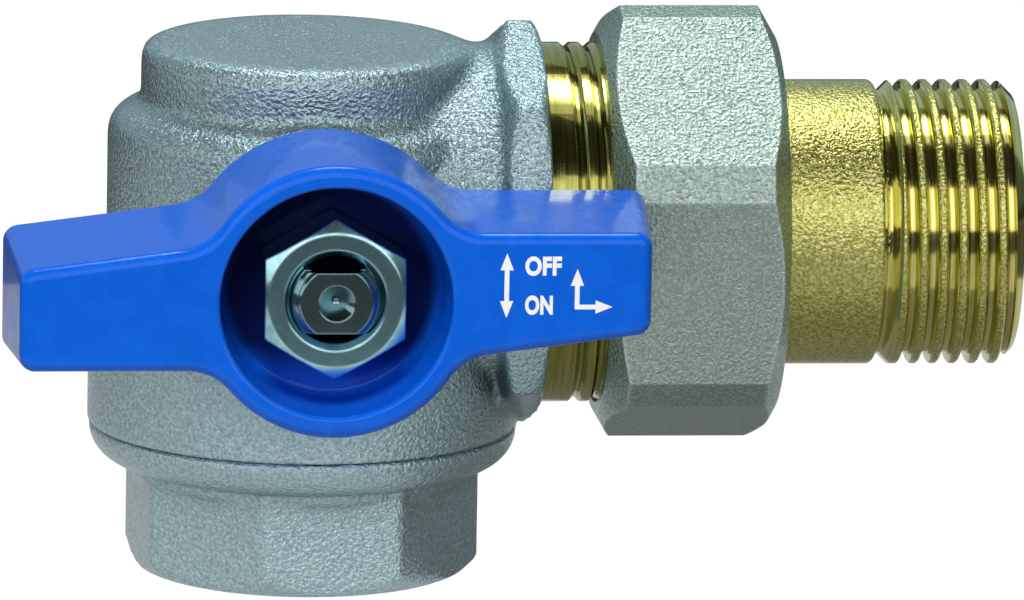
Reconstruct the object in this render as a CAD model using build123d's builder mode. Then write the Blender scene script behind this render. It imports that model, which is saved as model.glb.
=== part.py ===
from build123d import *

import os
from math import asin, cos, degrees, radians, sin, sqrt, tan

# Angle ball valve with a union tailpiece. Millimetres, +Z up.
# The origin is the centre of the inlet mouth. The inlet runs up +Z, the outlet runs along +X
# and the stem points to -Y, so the handle faces -Y.

# Ports
axis_height = 40.5  # inlet face to the outlet axis
inlet_thread_d = 33.3
inlet_thread_depth = 16.0
inlet_mouth_chamfer = 0.4
inlet_thread_runout = 1.5
flow_d = 23.0  # waterway through the adapter
outlet_d = 25.0  # waterway through the spigot and the tailpiece

# Forged body
cap_d = 38.6
cap_top = 21.3  # cap face above the outlet axis
shoulder_height = 13.9  # shoulder above the outlet axis
barrel_d = 46.2
belly_d = 50.2
step_depth = 8.5  # start of the barrel's flare below the outlet axis
step_length = 3.0
joint_height = 17.0  # joint between body and adapter, above the inlet face
cap_edge_round = 1.3
cap_root_round = 1.6
shoulder_round = 3.2
step_round = 2.0
joint_edge_round = 0.3
neck_d = 41.8
flange_across_corners = 47.8
flange_start = 20.8
flange_end = 26.9
flange_front_cone = 2.6
flange_rear_cone = 1.1
flange_cone_drop = 2.2
flange_root_drop = 0.6  # foot of the front cone below the neck's surface
flange_front_round = 1.0
flange_rear_round = 0.5
boss_d = 22.0
boss_root_d = 30.0
boss_end = 32.8  # distance of the boss face from the port axes
boss_flare_start = 20.0
boss_flare_end = 27.0
boss_flare_round = 4.0
boss_edge_round = 0.8

# Outlet spigot and union
union_thread_d = 41.9
spigot_end = 44.0
spigot_chamfer = 1.2
gasket_thickness = 2.0
gasket_bore_d = 27.0
gasket_d = 37.8
tail_collar_d = 38.4
tail_collar_length = 4.0
tail_tube_d = 33.2
tail_tube_end = 66.0
tail_relief_d = 30.8
tail_relief_length = 0.9
tail_relief_lead = 0.4
tail_thread_d = 33.2
tail_end = 82.4
tail_chamfer = 1.6
tail_tube_edge_round = 0.8
tail_edge_round = 0.3
tail_thread_edge_round = 0.2
nut_start = 33.8
nut_end = 54.4
nut_across_flats = 47.2
nut_across_lands = 52.0
nut_turn = 9.1  # tilt of the front flat below the horizontal
nut_face_d = 44.2
nut_chamfer_angle = 30.0

# Inlet adapter
adapter_collar_d = 49.8
adapter_collar_round = 4.0
octagon_height = 12.6
octagon_across_flats = 38.8
octagon_turn = 6.6
octagon_neck_d = 41.0
octagon_neck_drop = 2.4  # foot of the neck's cone below the collar
octagon_foot_d = 38.2
octagon_foot_round = 1.0
octagon_foot_rise = 2.0  # height of the foot's cone beyond the flats
octagon_neck_cone = 1.4
octagon_neck_round = 0.4
adapter_end_round = 0.6
adapter_screw_d = 41.8
adapter_lip = 2.1  # adapter's end face below the lower seat's inner face
adapter_groove_offset = 1.4  # o-ring groove above the joint
collar_relief = 2.0  # room for the collar under the wrench flange

# Ball and seats
ball_d = 35.0
port_land = 1.2  # metal that the ball keeps between the rims of its two ports
seat_wall = 3.8
seat_thickness = 5.2
seat_back = 2.6  # seat behind the edge where its bore meets the ball
slot_width = 6.2
slot_floor = 1.7  # metal between the stem's slot and the port

# Stem
stem_d = 12.0
stem_flange_d = 16.0
stem_flange_thickness = 2.0
washer_thickness = 1.0
stem_shoulder = 33.8  # distance of the handle seat from the port axes
stem_screw_d = 10.0
stem_across_flats = 7.0
stem_end = 46.4
stem_end_chamfer = 0.9
dimple_d = 4.2
dimple_depth = 1.9
tang_width = 12.0
o_ring_section = 1.5
o_ring_room = 0.5  # groove width beyond the ring's section
inner_o_ring = 24.2
outer_o_ring = 28.6

# Handle, seen from the front with the valve closed
handle_front = 46.4
handle_back = 27.6
front_hub_d = 31.4
front_length = 35.7
front_straight_edge = 7.9
front_taper_edge = 8.3  # tapered edge, carried on to the stem axis
front_tip_edge = 3.6
back_hub_d = 32.8
back_length = 36.7
back_straight_edge = 9.3
back_taper_edge = 9.9
back_tip_edge = 5.1
wing_corner_round = 1.8
wing_root_round = 6.5
handle_edge_round = 1.3
cup_mouth_d = 26.4
cup_draft = 3.0
cup_floor = 36.8
cup_edge_round = 0.6
cup_floor_round = 1.0
skirt_d = 25.2
wing_wall = 2.4
wing_front_wall = 2.8
hollow_corner_round = 1.0
stop_lug_r = 14.0
stop_lug_width = 5.0
stop_lug_angle = 225.0
handle_sweep = 90.0

# Handle nut
handle_nut_across_flats = 16.0
handle_nut_thickness = 8.0
handle_nut_chamfer_angle = 30.0
handle_nut_face_inset = 0.3  # washer face inside the flats
handle_nut_mouth_d = 11.6

# Clearances
screw_clearance = 0.05
running_clearance = 0.05
seat_clearance = 0.1
loose_clearance = 0.3
chamber_clearance = 0.7
cone_overrun = 0.5  # turned cones start this far outside the corners they trim

# Derived positions
ball_r = ball_d / 2
seat_bore_d = flow_d + 4 * seat_clearance
seat_d = seat_bore_d + 2 * seat_wall
seat_outer = sqrt(ball_r**2 - (seat_bore_d / 2) ** 2) + seat_back
seat_inner = seat_outer - seat_thickness
chamber_d = ball_d + 2 * chamber_clearance
port_d = (ball_d - 2 * port_land) / sqrt(2)
slot_depth = ball_r - port_d / 2 - slot_floor
adapter_top = axis_height - seat_inner - adapter_lip
flange_rim_r = flange_across_corners / 2 + cone_overrun
gasket_end = spigot_end + gasket_thickness
collar_end = gasket_end + tail_collar_length
tube_r = tail_tube_d / 2
relief_r = tail_relief_d / 2
relief_end = tail_tube_end + tail_relief_length
thread_r = tail_thread_d / 2
stem_flange_back = ball_r + loose_clearance + seat_clearance
stem_flange_front = stem_flange_back + stem_flange_thickness
washer_front = stem_flange_front + washer_thickness
groove_r = stem_d / 2 - o_ring_section
groove_width = o_ring_section + o_ring_room
foot_cone = (octagon_across_flats - octagon_foot_d) / 2 + octagon_foot_rise
neck_r = octagon_neck_d / 2
neck_foot = octagon_height - octagon_neck_drop
adapter_groove_height = joint_height + adapter_groove_offset + groove_width / 2

handle_nut_corner = handle_nut_across_flats / 2 / cos(radians(30)) + cone_overrun
handle_nut_face = handle_nut_across_flats / 2 - handle_nut_face_inset
handle_nut_cone = (handle_nut_corner - handle_nut_face) * tan(radians(handle_nut_chamfer_angle))
nut_bore_r = stem_screw_d / 2 + screw_clearance
nut_mouth_r = handle_nut_mouth_d / 2
nut_front = cup_floor + handle_nut_thickness
nut_rim_r = nut_across_lands / 2 + cone_overrun
nut_cone = (nut_rim_r - nut_face_d / 2) * tan(radians(nut_chamfer_angle))

hollow_start = back_hub_d / 2 + wing_wall / 2
hollow_end = front_length - wing_wall
taper_slope = (front_taper_edge - front_tip_edge) / front_length
hollow_root_edge = front_taper_edge - taper_slope * hollow_start - wing_wall
stop_half = degrees(asin(stop_lug_width / skirt_d) + 2 * loose_clearance / skirt_d)
stop_from = radians(stop_lug_angle - stop_half)
stop_middle = radians(stop_lug_angle + handle_sweep / 2)
stop_to = radians(stop_lug_angle + handle_sweep + stop_half)
hub_reach = 2 * back_hub_d

centre = Vector(0, 0, axis_height)
inlet_axis = Axis.Z
outlet_axis = Axis(centre, (1, 0, 0))
stem_axis = Axis(centre, (0, -1, 0))
inlet_section = Plane.XZ
outlet_section = Plane(centre, x_dir=(1, 0, 0), z_dir=(0, -1, 0))
stem_section = Plane(centre, x_dir=(0, -1, 0), z_dir=(-1, 0, 0))
outlet_plane = Plane(centre, x_dir=(0, 1, 0), z_dir=(1, 0, 0))
stem_plane = Plane(centre, x_dir=(1, 0, 0), z_dir=(0, -1, 0))

os.makedirs("parts", exist_ok=True)


# Outline of the handle in one plane: a hub circle and two opposed wings, blended at the roots.
def wing_outline(hub_d, length, straight_edge, taper_edge, tip_edge):
    with BuildSketch() as outline:
        Circle(hub_d / 2)
        for side in (1, -1):
            with BuildLine():
                Polyline(
                    (0, side * straight_edge),
                    (side * length, side * straight_edge),
                    (side * length, -side * tip_edge),
                    (0, -side * taper_edge),
                    close=True,
                )
            make_face()
        tips = outline.vertices().filter_by(lambda v: abs(v.X) > length - 0.1)
        fillet(tips, wing_corner_round)
        roots = outline.vertices().filter_by(lambda v: abs(v.X) < hub_d / 2)
        fillet(roots, wing_root_round)
    return outline.sketch


# Octagonal wrench flange of the body: flats cut on a disc with coned sides.
with BuildPart() as flange:
    with BuildSketch(outlet_plane.offset(flange_start)):
        RegularPolygon(flange_across_corners / 2, 8)
    extrude(amount=flange_end - flange_start)
    with BuildSketch(outlet_section):
        with BuildLine():
            FilletPolyline(
                (flange_start, 0),
                (flange_start, neck_d / 2 - flange_root_drop),
                (flange_start + flange_front_cone, flange_rim_r),
                (flange_end - flange_rear_cone, flange_rim_r),
                (flange_end, flange_rim_r - flange_cone_drop),
                (flange_end, 0),
                radius=[0, flange_front_round, flange_rear_round, 0],
            )
            Line((flange_end, 0), (flange_start, 0))
        make_face()
    revolve(axis=outlet_axis, mode=Mode.INTERSECT)

# Forged body with barrel, cap, neck, stem boss and outlet spigot.
with BuildPart() as valve_body:
    with BuildSketch(inlet_section):
        with BuildLine():
            FilletPolyline(
                (0, axis_height + cap_top),
                (cap_d / 2, axis_height + cap_top),
                (cap_d / 2, axis_height + shoulder_height),
                (barrel_d / 2, axis_height + shoulder_height),
                (barrel_d / 2, axis_height - step_depth),
                (belly_d / 2, axis_height - step_depth - step_length),
                (belly_d / 2, joint_height),
                (0, joint_height),
                radius=[
                    cap_edge_round,
                    cap_root_round,
                    shoulder_round,
                    step_round,
                    step_round,
                    joint_edge_round,
                ],
            )
            Line((0, joint_height), (0, axis_height + cap_top))
        make_face()
    revolve(axis=inlet_axis)
    with BuildSketch(outlet_plane):
        Circle(neck_d / 2)
    extrude(amount=flange_start + flange_root_drop)
    add(flange.part)
    with BuildSketch(stem_section):
        with BuildLine():
            FilletPolyline(
                (0, 0),
                (0, boss_root_d / 2),
                (boss_flare_start, boss_root_d / 2),
                (boss_flare_end, boss_d / 2),
                (boss_end, boss_d / 2),
                (boss_end, 0),
                radius=[0, 0, boss_flare_round, boss_edge_round],
            )
            Line((boss_end, 0), (0, 0))
        make_face()
    revolve(axis=stem_axis)
    with BuildSketch(stem_plane.offset(boss_flare_start)):
        with PolarLocations(stop_lug_r / 2, 1, start_angle=stop_lug_angle):
            Rectangle(stop_lug_r, stop_lug_width)
    extrude(amount=boss_end - boss_flare_start)
    with BuildSketch(outlet_plane.offset(flange_end)):
        Circle(union_thread_d / 2)
    extrude(amount=spigot_end - flange_end)
    chamfer(edges().filter_by(GeomType.CIRCLE).sort_by(Axis.X)[-1], spigot_chamfer)
    with BuildSketch(inlet_section):
        with BuildLine():
            Polyline(
                (0, joint_height - collar_relief),
                (adapter_collar_d / 2 + loose_clearance, joint_height - collar_relief),
                (adapter_collar_d / 2 + loose_clearance, joint_height),
                (adapter_screw_d / 2 + screw_clearance, joint_height),
                (adapter_screw_d / 2 + screw_clearance, adapter_top + seat_clearance),
                (chamber_d / 2, adapter_top + seat_clearance),
                (chamber_d / 2, axis_height + seat_inner),
                (seat_d / 2 + seat_clearance, axis_height + seat_inner),
                (seat_d / 2 + seat_clearance, axis_height + seat_outer),
                (flow_d / 2, axis_height + seat_outer),
                (flow_d / 2, axis_height + ball_r),
                (0, axis_height + ball_r),
                close=True,
            )
        make_face()
    revolve(axis=inlet_axis, mode=Mode.SUBTRACT)
    with BuildSketch(outlet_plane):
        Circle(outlet_d / 2)
    extrude(amount=spigot_end, mode=Mode.SUBTRACT)
    with BuildSketch(stem_plane):
        Circle(stem_d / 2 + running_clearance)
    extrude(amount=boss_end, mode=Mode.SUBTRACT)
    with BuildSketch(stem_plane):
        Circle(stem_flange_d / 2 + seat_clearance)
    extrude(amount=washer_front, mode=Mode.SUBTRACT)
valve_body.part.label = "valve_body"
export_step(valve_body.part, "parts/valve_body.step")

# Screwed-in inlet adapter with collar, wrench octagon and female thread.
with BuildPart() as inlet_adapter:
    with BuildSketch():
        RegularPolygon(octagon_across_flats / 2, 8, major_radius=False, rotation=octagon_turn + 22.5)
    extrude(amount=octagon_height)
    with BuildSketch(inlet_section):
        with BuildLine():
            FilletPolyline(
                (0, 0),
                (octagon_foot_d / 2, 0),
                (octagon_foot_d / 2 + foot_cone, foot_cone),
                (octagon_foot_d / 2 + foot_cone, octagon_height),
                (0, octagon_height),
                radius=[octagon_foot_round, 0, 0],
            )
            Line((0, octagon_height), (0, 0))
        make_face()
    revolve(axis=inlet_axis, mode=Mode.INTERSECT)
    with BuildSketch(inlet_section):
        with BuildLine():
            FilletPolyline(
                (0, neck_foot),
                (neck_r - octagon_neck_cone, neck_foot),
                (neck_r, neck_foot + octagon_neck_cone),
                (neck_r, octagon_height),
                (adapter_collar_d / 2, octagon_height),
                (adapter_collar_d / 2, joint_height),
                (adapter_screw_d / 2, joint_height),
                (adapter_screw_d / 2, adapter_top),
                (0, adapter_top),
                radius=[
                    0,
                    octagon_neck_round,
                    octagon_neck_round,
                    adapter_collar_round,
                    joint_edge_round,
                    0,
                    adapter_end_round,
                ],
            )
            Line((0, adapter_top), (0, neck_foot))
        make_face()
    revolve(axis=inlet_axis)
    with BuildSketch(inlet_section):
        with BuildLine():
            Polyline(
                (0, 0),
                (inlet_thread_d / 2 + inlet_mouth_chamfer, 0),
                (inlet_thread_d / 2, inlet_mouth_chamfer),
                (inlet_thread_d / 2, inlet_thread_depth),
                (flow_d / 2, inlet_thread_depth + inlet_thread_runout),
                (flow_d / 2, axis_height - seat_outer),
                (seat_d / 2 + seat_clearance, axis_height - seat_outer),
                (seat_d / 2 + seat_clearance, adapter_top),
                (0, adapter_top),
                close=True,
            )
        make_face()
    revolve(axis=inlet_axis, mode=Mode.SUBTRACT)
    with BuildSketch(Plane.XY.offset(joint_height + adapter_groove_offset)):
        Circle(adapter_screw_d / 2)
        Circle(adapter_screw_d / 2 - o_ring_section, mode=Mode.SUBTRACT)
    extrude(amount=groove_width, mode=Mode.SUBTRACT)
inlet_adapter.part.label = "inlet_adapter"
export_step(inlet_adapter.part, "parts/inlet_adapter.step")

# Seal of the screwed joint, lying in the adapter's groove.
with BuildPart() as adapter_o_ring:
    with BuildSketch(inlet_section):
        with Locations((adapter_screw_d / 2 - o_ring_section / 2, adapter_groove_height)):
            Circle(o_ring_section / 2)
    revolve(axis=inlet_axis)
adapter_o_ring.part.label = "adapter_o_ring"
export_step(adapter_o_ring.part, "parts/adapter_o_ring.step")

# Ball with an angled port, opening to +X and up in the closed position, and a slot for the stem.
with BuildPart() as ball:
    with Locations(centre):
        Sphere(ball_r)
    with Locations(centre):
        Sphere(port_d / 2, mode=Mode.SUBTRACT)
    with BuildSketch(outlet_plane):
        Circle(port_d / 2)
    extrude(amount=ball_d, mode=Mode.SUBTRACT)
    with BuildSketch(Plane.XY.offset(axis_height)):
        Circle(port_d / 2)
    extrude(amount=ball_d, mode=Mode.SUBTRACT)
    with BuildSketch(stem_plane.offset(ball_r - slot_depth)):
        Rectangle(slot_width, ball_d)
    extrude(amount=slot_depth, mode=Mode.SUBTRACT)
ball.part.label = "ball"
export_step(ball.part, "parts/ball.step")

# Seat ring above the ball, its inner face following the ball.
with BuildPart() as upper_seat:
    with BuildSketch(Plane.XY.offset(axis_height + seat_inner)):
        Circle(seat_d / 2)
        Circle(seat_bore_d / 2, mode=Mode.SUBTRACT)
    extrude(amount=seat_outer - seat_inner)
    with Locations(centre):
        Sphere(ball_r + running_clearance, mode=Mode.SUBTRACT)
upper_seat.part.label = "upper_seat"
export_step(upper_seat.part, "parts/upper_seat.step")

# Seat ring below the ball, seated in the adapter.
with BuildPart() as lower_seat:
    with BuildSketch(Plane.XY.offset(axis_height - seat_outer)):
        Circle(seat_d / 2)
        Circle(seat_bore_d / 2, mode=Mode.SUBTRACT)
    extrude(amount=seat_outer - seat_inner)
    with Locations(centre):
        Sphere(ball_r + running_clearance, mode=Mode.SUBTRACT)
lower_seat.part.label = "lower_seat"
export_step(lower_seat.part, "parts/lower_seat.step")

# Stem: tang in the ball's slot, inner flange, two o-ring grooves, flatted screw end with a dimple.
with BuildPart() as stem:
    with BuildSketch(stem_section):
        with BuildLine():
            Polyline(
                (stem_flange_back, 0),
                (stem_flange_back, stem_flange_d / 2),
                (stem_flange_front, stem_flange_d / 2),
                (stem_flange_front, stem_d / 2),
                (stem_shoulder, stem_d / 2),
                (stem_shoulder, stem_screw_d / 2),
                (stem_end - stem_end_chamfer, stem_screw_d / 2),
                (stem_end, stem_screw_d / 2 - stem_end_chamfer),
                (stem_end, dimple_d / 2),
                (stem_end - dimple_depth, 0),
                close=True,
            )
        make_face()
    revolve(axis=stem_axis)
    with BuildSketch(stem_plane.offset(stem_shoulder)):
        with GridLocations(0, stem_screw_d + stem_across_flats, 1, 2):
            Rectangle(stem_screw_d, stem_screw_d)
    extrude(amount=stem_end - stem_shoulder, mode=Mode.SUBTRACT)
    with BuildSketch(stem_plane.offset(inner_o_ring - groove_width / 2)):
        Circle(stem_d / 2)
        Circle(groove_r, mode=Mode.SUBTRACT)
    extrude(amount=groove_width, mode=Mode.SUBTRACT)
    with BuildSketch(stem_plane.offset(outer_o_ring - groove_width / 2)):
        Circle(stem_d / 2)
        Circle(groove_r, mode=Mode.SUBTRACT)
    extrude(amount=groove_width, mode=Mode.SUBTRACT)
    with BuildSketch(stem_plane.offset(ball_r - slot_depth + loose_clearance)):
        Rectangle(slot_width - 2 * seat_clearance, tang_width)
    extrude(amount=stem_flange_back - ball_r + slot_depth - loose_clearance)
stem.part.label = "stem"
export_step(stem.part, "parts/stem.step")

# Low-friction washer between the stem's flange and the body.
with BuildPart() as stem_washer:
    with BuildSketch(stem_plane.offset(stem_flange_front)):
        Circle(stem_flange_d / 2)
        Circle(stem_d / 2 + running_clearance, mode=Mode.SUBTRACT)
    extrude(amount=washer_thickness - running_clearance)
stem_washer.part.label = "stem_washer"
export_step(stem_washer.part, "parts/stem_washer.step")

# The two stem seals.
with BuildPart() as inner_stem_o_ring:
    with BuildSketch(stem_section):
        with Locations((inner_o_ring, groove_r + o_ring_section / 2)):
            Circle(o_ring_section / 2)
    revolve(axis=stem_axis)
inner_stem_o_ring.part.label = "inner_stem_o_ring"
export_step(inner_stem_o_ring.part, "parts/inner_stem_o_ring.step")

with BuildPart() as outer_stem_o_ring:
    with BuildSketch(stem_section):
        with Locations((outer_o_ring, groove_r + o_ring_section / 2)):
            Circle(o_ring_section / 2)
    revolve(axis=stem_axis)
outer_stem_o_ring.part.label = "outer_stem_o_ring"
export_step(outer_stem_o_ring.part, "parts/outer_stem_o_ring.step")

# Butterfly handle: a drafted hub with two opposed wings, a deep cup in front and a skirt behind.
with BuildPart() as handle:
    with BuildSketch(stem_plane.offset(handle_back)):
        add(wing_outline(back_hub_d, back_length, back_straight_edge, back_taper_edge, back_tip_edge))
    with BuildSketch(stem_plane.offset(handle_front)):
        add(wing_outline(front_hub_d, front_length, front_straight_edge, front_taper_edge, front_tip_edge))
    loft(ruled=True)
    front_edges = faces().sort_by(stem_axis)[-1].edges()
    fillet(front_edges, handle_edge_round)
    with BuildSketch(stem_plane.offset(handle_front)):
        Circle(cup_mouth_d / 2)
    extrude(amount=cup_floor - handle_front, taper=cup_draft, mode=Mode.SUBTRACT)
    floor_edge = faces().filter_by(Plane.XZ).sort_by(stem_axis)[-2].edges()
    fillet(floor_edge, cup_floor_round)
    mouth_edge = edges().filter_by(GeomType.CIRCLE).sort_by(stem_axis)[-1]
    fillet(mouth_edge, cup_edge_round)
    with BuildSketch(stem_plane.offset(cup_floor)):
        Circle(stem_screw_d / 2 + seat_clearance)
        Rectangle(stem_screw_d, stem_across_flats + 2 * seat_clearance, mode=Mode.INTERSECT)
    extrude(amount=stem_shoulder - cup_floor, mode=Mode.SUBTRACT)
    with BuildSketch(stem_plane.offset(handle_back)):
        Circle(skirt_d / 2)
    extrude(amount=stem_shoulder - handle_back, mode=Mode.SUBTRACT)
    with BuildSketch(stem_plane.offset(handle_back)):
        with BuildLine():
            Polyline(
                (0, 0),
                (hub_reach * cos(stop_from), hub_reach * sin(stop_from)),
                (hub_reach * cos(stop_middle), hub_reach * sin(stop_middle)),
                (hub_reach * cos(stop_to), hub_reach * sin(stop_to)),
                close=True,
            )
        make_face()
        Circle(stop_lug_r + loose_clearance, mode=Mode.INTERSECT)
    extrude(amount=stem_shoulder - handle_back, mode=Mode.SUBTRACT)
    with BuildSketch(stem_plane.offset(handle_back)) as hollows:
        for side in (1, -1):
            with BuildLine():
                Polyline(
                    (side * hollow_start, side * (front_straight_edge - wing_wall)),
                    (side * hollow_end, side * (front_straight_edge - wing_wall)),
                    (side * hollow_end, -side * (front_tip_edge - wing_wall)),
                    (side * hollow_start, -side * hollow_root_edge),
                    close=True,
                )
            make_face()
        fillet(hollows.vertices(), hollow_corner_round)
    extrude(amount=handle_front - wing_front_wall - handle_back, mode=Mode.SUBTRACT)
handle.part.label = "handle"
export_step(handle.part, "parts/handle.step")

# Hexagon nut that holds the handle, coned at both ends.
with BuildPart() as handle_nut:
    with BuildSketch(stem_plane.offset(cup_floor)):
        RegularPolygon(handle_nut_across_flats / 2, 6, major_radius=False, rotation=30)
    extrude(amount=handle_nut_thickness)
    with BuildSketch(stem_section):
        with BuildLine():
            Polyline(
                (cup_floor, 0),
                (cup_floor, handle_nut_face),
                (cup_floor + handle_nut_cone, handle_nut_corner),
                (cup_floor + handle_nut_thickness - handle_nut_cone, handle_nut_corner),
                (cup_floor + handle_nut_thickness, handle_nut_face),
                (cup_floor + handle_nut_thickness, 0),
                close=True,
            )
        make_face()
    revolve(axis=stem_axis, mode=Mode.INTERSECT)
    with BuildSketch(stem_section):
        with BuildLine():
            Polyline(
                (cup_floor, 0),
                (cup_floor, nut_mouth_r),
                (cup_floor + nut_mouth_r - nut_bore_r, nut_bore_r),
                (nut_front - nut_mouth_r + nut_bore_r, nut_bore_r),
                (nut_front, nut_mouth_r),
                (nut_front, 0),
                close=True,
            )
        make_face()
    revolve(axis=stem_axis, mode=Mode.SUBTRACT)
handle_nut.part.label = "handle_nut"
export_step(handle_nut.part, "parts/handle_nut.step")

# Union nut: a hexagon with cut-off corners, coned at both ends, with a thread bore and an inner shoulder.
with BuildPart() as union_nut:
    with BuildSketch(outlet_plane.offset(nut_start)):
        RegularPolygon(nut_across_flats / 2, 6, major_radius=False, rotation=nut_turn + 30)
        RegularPolygon(
            nut_across_lands / 2, 6, major_radius=False, rotation=nut_turn, mode=Mode.INTERSECT
        )
    extrude(amount=nut_end - nut_start)
    with BuildSketch(outlet_section):
        with BuildLine():
            Polyline(
                (nut_start, 0),
                (nut_start, nut_face_d / 2),
                (nut_start + nut_cone, nut_rim_r),
                (nut_end - nut_cone, nut_rim_r),
                (nut_end, nut_face_d / 2),
                (nut_end, 0),
                close=True,
            )
        make_face()
    revolve(axis=outlet_axis, mode=Mode.INTERSECT)
    with BuildSketch(outlet_plane.offset(nut_start)):
        Circle(union_thread_d / 2 + seat_clearance)
    extrude(amount=collar_end + running_clearance - nut_start, mode=Mode.SUBTRACT)
    with BuildSketch(outlet_plane.offset(nut_start)):
        Circle(tail_tube_d / 2 + loose_clearance)
    extrude(amount=nut_end - nut_start, mode=Mode.SUBTRACT)
union_nut.part.label = "union_nut"
export_step(union_nut.part, "parts/union_nut.step")

# Flat gasket between the spigot and the tailpiece collar.
with BuildPart() as union_gasket:
    with BuildSketch(outlet_plane.offset(spigot_end)):
        Circle(gasket_d / 2)
        Circle(gasket_bore_d / 2, mode=Mode.SUBTRACT)
    extrude(amount=gasket_thickness)
union_gasket.part.label = "union_gasket"
export_step(union_gasket.part, "parts/union_gasket.step")

# Tailpiece: collar behind the nut's shoulder, plain tube, relief and male thread.
with BuildPart() as tailpiece:
    with BuildSketch(outlet_section):
        with BuildLine():
            FilletPolyline(
                (gasket_end, outlet_d / 2),
                (gasket_end, tail_collar_d / 2),
                (collar_end, tail_collar_d / 2),
                (collar_end, tube_r),
                (tail_tube_end, tube_r),
                (tail_tube_end + tail_relief_lead, relief_r),
                (relief_end, relief_r),
                (relief_end + thread_r - relief_r, thread_r),
                (tail_end - tail_chamfer, thread_r),
                (tail_end, thread_r - tail_chamfer),
                (tail_end, outlet_d / 2),
                radius=[
                    tail_edge_round,
                    tail_edge_round,
                    0,
                    tail_tube_edge_round,
                    tail_edge_round,
                    0,
                    0,
                    tail_thread_edge_round,
                    tail_thread_edge_round,
                ],
            )
            Line((tail_end, outlet_d / 2), (gasket_end, outlet_d / 2))
        make_face()
    revolve(axis=outlet_axis)
tailpiece.part.label = "tailpiece"
export_step(tailpiece.part, "parts/tailpiece.step")
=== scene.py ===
# %% [markdown]
# # An angle ball valve, dressed for its portrait
# The imported CAD model gives every piece its size and place. This lesson adds what turned solids
# leave out: cut threads, blasted and polished metal, enamel, the printed marks, and a small studio.
# Loading comes first, and the CAD box is kept and printed; its floor sets the table.

# %% Load the frame
from math import atan2, cos, degrees, hypot, pi, radians, sin, tan

import bpy
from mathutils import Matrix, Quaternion, Vector


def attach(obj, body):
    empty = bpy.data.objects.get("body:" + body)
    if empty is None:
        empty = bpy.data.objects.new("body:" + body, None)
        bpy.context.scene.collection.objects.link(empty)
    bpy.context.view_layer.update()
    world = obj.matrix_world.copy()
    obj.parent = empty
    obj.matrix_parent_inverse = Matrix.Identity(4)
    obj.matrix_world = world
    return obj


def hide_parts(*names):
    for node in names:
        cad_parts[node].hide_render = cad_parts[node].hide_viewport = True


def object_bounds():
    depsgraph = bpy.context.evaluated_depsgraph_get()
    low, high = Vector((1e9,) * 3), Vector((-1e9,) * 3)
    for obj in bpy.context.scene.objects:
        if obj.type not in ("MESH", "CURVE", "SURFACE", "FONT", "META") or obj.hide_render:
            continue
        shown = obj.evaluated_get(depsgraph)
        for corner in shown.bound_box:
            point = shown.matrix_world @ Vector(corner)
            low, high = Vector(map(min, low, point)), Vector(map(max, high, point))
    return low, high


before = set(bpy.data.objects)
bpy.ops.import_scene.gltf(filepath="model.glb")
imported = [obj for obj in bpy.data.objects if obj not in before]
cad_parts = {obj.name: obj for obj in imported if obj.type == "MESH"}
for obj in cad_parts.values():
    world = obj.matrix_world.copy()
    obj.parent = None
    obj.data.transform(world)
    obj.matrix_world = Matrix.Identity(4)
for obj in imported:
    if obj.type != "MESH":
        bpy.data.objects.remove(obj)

cad_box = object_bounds()
scene = bpy.context.scene
mm = 0.001
axis_height = 40.5 * mm  # the outlet and stem axes above the inlet's mouth
print("CAD box", [tuple(round(c / mm, 1) for c in corner) for corner in cad_box])

# %% [markdown]
# ## Grain
# Metal that was blasted, turned or sprayed is never one flat colour. A bitmap could give its grain,
# but noise on Object coordinates has the same size on every piece and never stretches. The helpers
# use one noise three times: for colour, for gloss, and as dents that bend the light. A Bevel node
# rounds sharp edges in the shading, as plating and paint do.

# %% Helpers for grain
noise_low, noise_high = 0.3, 0.7  # most of a noise lies between these


def new_material(name, metallic, **sockets):
    material = bpy.data.materials.new(name)
    material.use_nodes = True
    shader = material.node_tree.nodes["Principled BSDF"]
    shader.inputs["Metallic"].default_value = metallic
    for socket, value in sockets.items():
        shader.inputs[socket.replace("_", " ")].default_value = value
    return material, shader


def grain(material, scale, detail=2.0, stretch=(1, 1, 1)):
    nodes, links = material.node_tree.nodes, material.node_tree.links
    place = nodes.new("ShaderNodeTexCoord")
    mapping = nodes.new("ShaderNodeMapping")
    mapping.inputs["Scale"].default_value = stretch
    noise = nodes.new("ShaderNodeTexNoise")
    noise.inputs["Scale"].default_value = scale
    noise.inputs["Detail"].default_value = detail
    links.new(place.outputs["Object"], mapping.inputs["Vector"])
    links.new(mapping.outputs["Vector"], noise.inputs["Vector"])
    return noise.outputs["Fac"]


def ramp(material, value, low, high, low_color, high_color):
    node = material.node_tree.nodes.new("ShaderNodeValToRGB")
    node.color_ramp.elements[0].position = low
    node.color_ramp.elements[0].color = (*low_color, 1)
    node.color_ramp.elements[1].position = high
    node.color_ramp.elements[1].color = (*high_color, 1)
    material.node_tree.links.new(value, node.inputs["Fac"])
    return node.outputs["Color"]


def spread(material, value, low, high):
    node = material.node_tree.nodes.new("ShaderNodeMapRange")
    node.inputs["From Min"].default_value = noise_low
    node.inputs["From Max"].default_value = noise_high
    node.inputs["To Min"].default_value = low
    node.inputs["To Max"].default_value = high
    material.node_tree.links.new(value, node.inputs["Value"])
    return node.outputs["Result"]


def dents(material, shader, height, depth, strength, edge=0.0):
    nodes, links = material.node_tree.nodes, material.node_tree.links
    bump = nodes.new("ShaderNodeBump")
    bump.inputs["Strength"].default_value = strength
    bump.inputs["Distance"].default_value = depth
    links.new(height, bump.inputs["Height"])
    if edge:
        rounding = nodes.new("ShaderNodeBevel")
        rounding.samples = 6
        rounding.inputs["Radius"].default_value = edge
        links.new(rounding.outputs["Normal"], bump.inputs["Normal"])
    links.new(bump.outputs["Normal"], shader.inputs["Normal"])
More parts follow.
